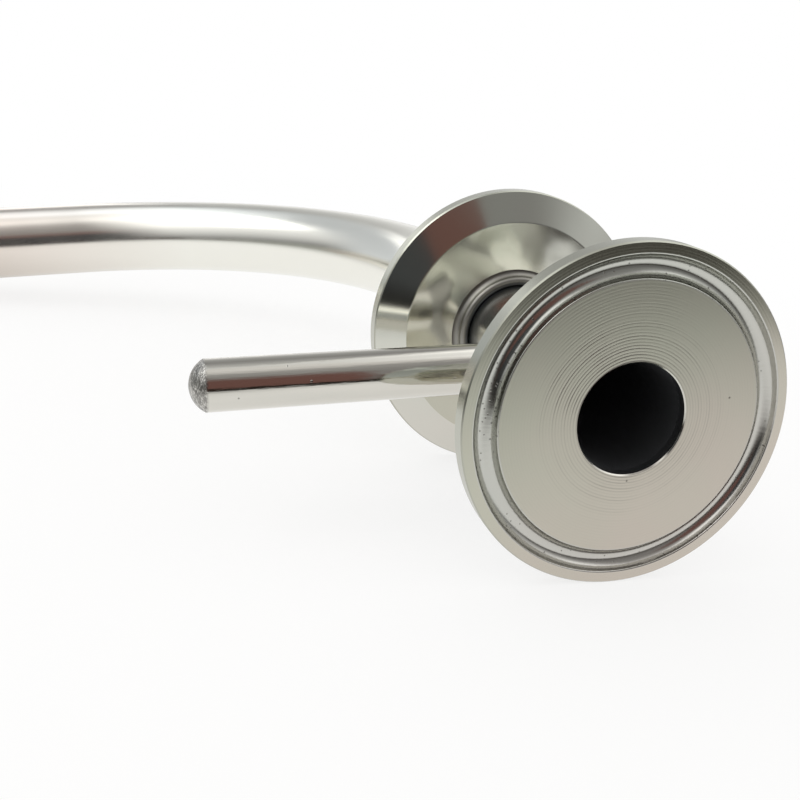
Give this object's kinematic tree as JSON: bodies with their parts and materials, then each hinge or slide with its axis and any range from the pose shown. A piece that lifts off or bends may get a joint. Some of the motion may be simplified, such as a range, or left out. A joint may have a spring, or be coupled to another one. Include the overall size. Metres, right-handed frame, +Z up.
{
  "type": "bent dip tube with clamp ferrules",
  "caption": "Stainless dip tube: a thin tube passes through clamp ferrules on one axis, bends a quarter turn and carries a rod that points along its arm.",
  "frame": {"origin": "centre of the tank ferrule's sealing face, on the axis of the tube's straight run", "axes": "+Y runs from the valve ferrule through the tank ferrule into the tank, the arm bends towards -X and dips until its end rests, and +Z is up from the surface that both rims and the arm's end lie on"},
  "size_m": [0.1653, 0.1765, 0.0505],
  "materials": {
    "turned_steel": "turned faces with fine rings, polished groove and bevel",
    "polished_tube_steel": "polished",
    "polished_rod_steel": "polished, ground end",
    "weld_steel": "smooth weld"
  },
  "bodies": {
    "root": {"valve_ferrule": "turned_steel", "tank_ferrule": "turned_steel", "dip_tube": "polished_tube_steel", "pointer_rod": "polished_rod_steel", "valve_weld": "weld_steel", "tank_weld": "weld_steel", "tank_side_weld": "weld_steel", "rod_weld": "weld_steel"}
  },
  "joints": []
}
